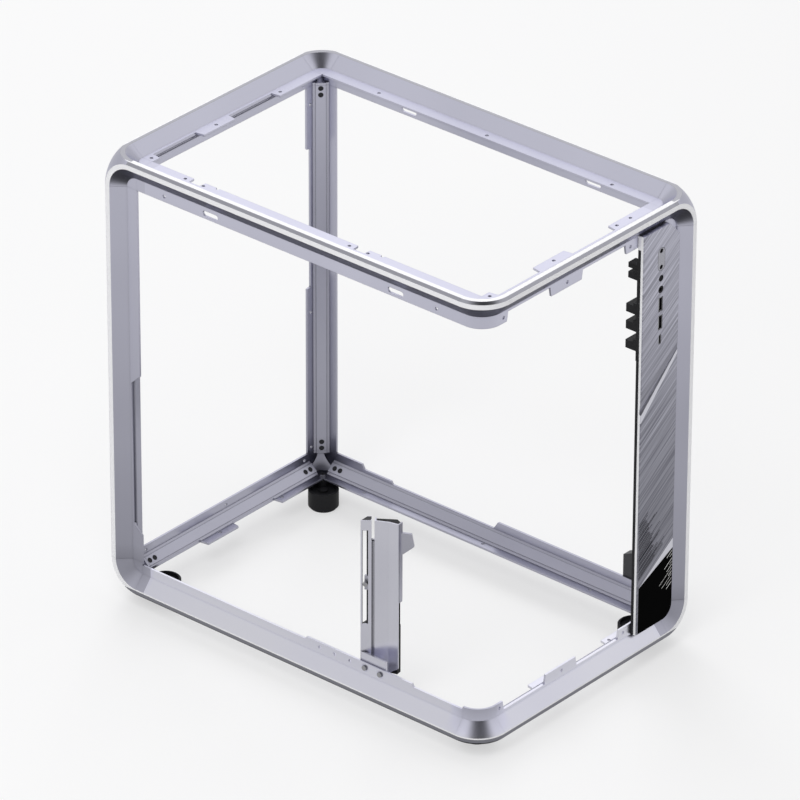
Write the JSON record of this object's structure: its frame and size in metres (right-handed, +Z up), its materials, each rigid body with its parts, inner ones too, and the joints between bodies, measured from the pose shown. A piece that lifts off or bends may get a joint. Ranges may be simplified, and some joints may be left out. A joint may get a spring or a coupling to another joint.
{
  "type": "computer case frame",
  "caption": "Bare anodised aluminium frame of a small computer case with curved-glass corner, four feet, front port strip and a graphics card holder.",
  "frame": {"origin": "middle of the footprint on the ground, under the feet", "axes": "+Z up, the port strip faces -Y, +X to the right as seen from the front"},
  "size_m": [0.285, 0.436, 0.45],
  "materials": {
    "frame_metal": "satin anodised",
    "strip_metal": "brushed on the slant",
    "gloss_black": "gloss",
    "black_plastic": "fine matte",
    "grey_plastic": "fine matte",
    "rubber": "matte",
    "steel": "satin",
    "black_steel": "black oxide",
    "board": "solder mask",
    "holder_metal": "satin anodised"
  },
  "bodies": {
    "frame": {"rail_top_left": "frame_metal", "rail_top_right": "frame_metal", "rail_top_front": "frame_metal", "rail_top_rear": "frame_metal", "rail_bottom_left": "frame_metal", "rail_bottom_right": "frame_metal", "rail_bottom_front": "frame_metal", "rail_bottom_rear": "frame_metal", "post_rear_left": "frame_metal", "post_rear_right": "frame_metal", "post_front_right": "frame_metal", "corner_rear_left_top": "frame_metal", "corner_rear_right_top": "frame_metal", "corner_front_right_top": "frame_metal", "corner_rear_left_bottom": "frame_metal", "corner_rear_right_bottom": "frame_metal", "corner_front_right_bottom": "frame_metal", "bend_front_left_top": "frame_metal", "bend_front_left_bottom": "frame_metal", "corner_screws": "black_steel", "foot_front_left": "black_plastic", "foot_front_right": "black_plastic", "foot_rear_left": "black_plastic", "foot_rear_right": "black_plastic", "pad_front_left": "rubber", "pad_front_right": "rubber", "pad_rear_left": "rubber", "pad_rear_right": "rubber", "foot_screws": "steel", "strip_plate": "strip_metal", "strip_insert": "gloss_black", "strip_carrier": "black_plastic", "audio_jack": "black_plastic", "usb_a_upper": "steel", "usb_a_lower": "steel", "usb_c": "steel", "io_board": "board", "io_headers": "black_plastic", "strip_screws": "steel", "panel_latch": "grey_plastic", "holder_bracket": "holder_metal", "holder_cover": "holder_metal", "holder_core": "black_plastic", "holder_screws": "steel"},
    "power": {"power_button": "strip_metal"},
    "reset": {"reset_button": "strip_metal"},
    "arm": {"holder_arm": "holder_metal", "holder_knob": "steel"}
  },
  "joints": [
    {"name": "power_press", "type": "slide", "parent": "frame", "child": "power", "axis": [0, 1, 0], "range_m": [0, 0.001], "stiffness_N_per_m": 500},
    {"name": "reset_press", "type": "slide", "parent": "frame", "child": "reset", "axis": [0, 1, 0], "range_m": [0, 0.0008], "stiffness_N_per_m": 500},
    {"name": "arm_slide", "type": "slide", "parent": "frame", "child": "arm", "axis": [0, 0, 1], "range_m": [-0.032, 0.043]}
  ]
}
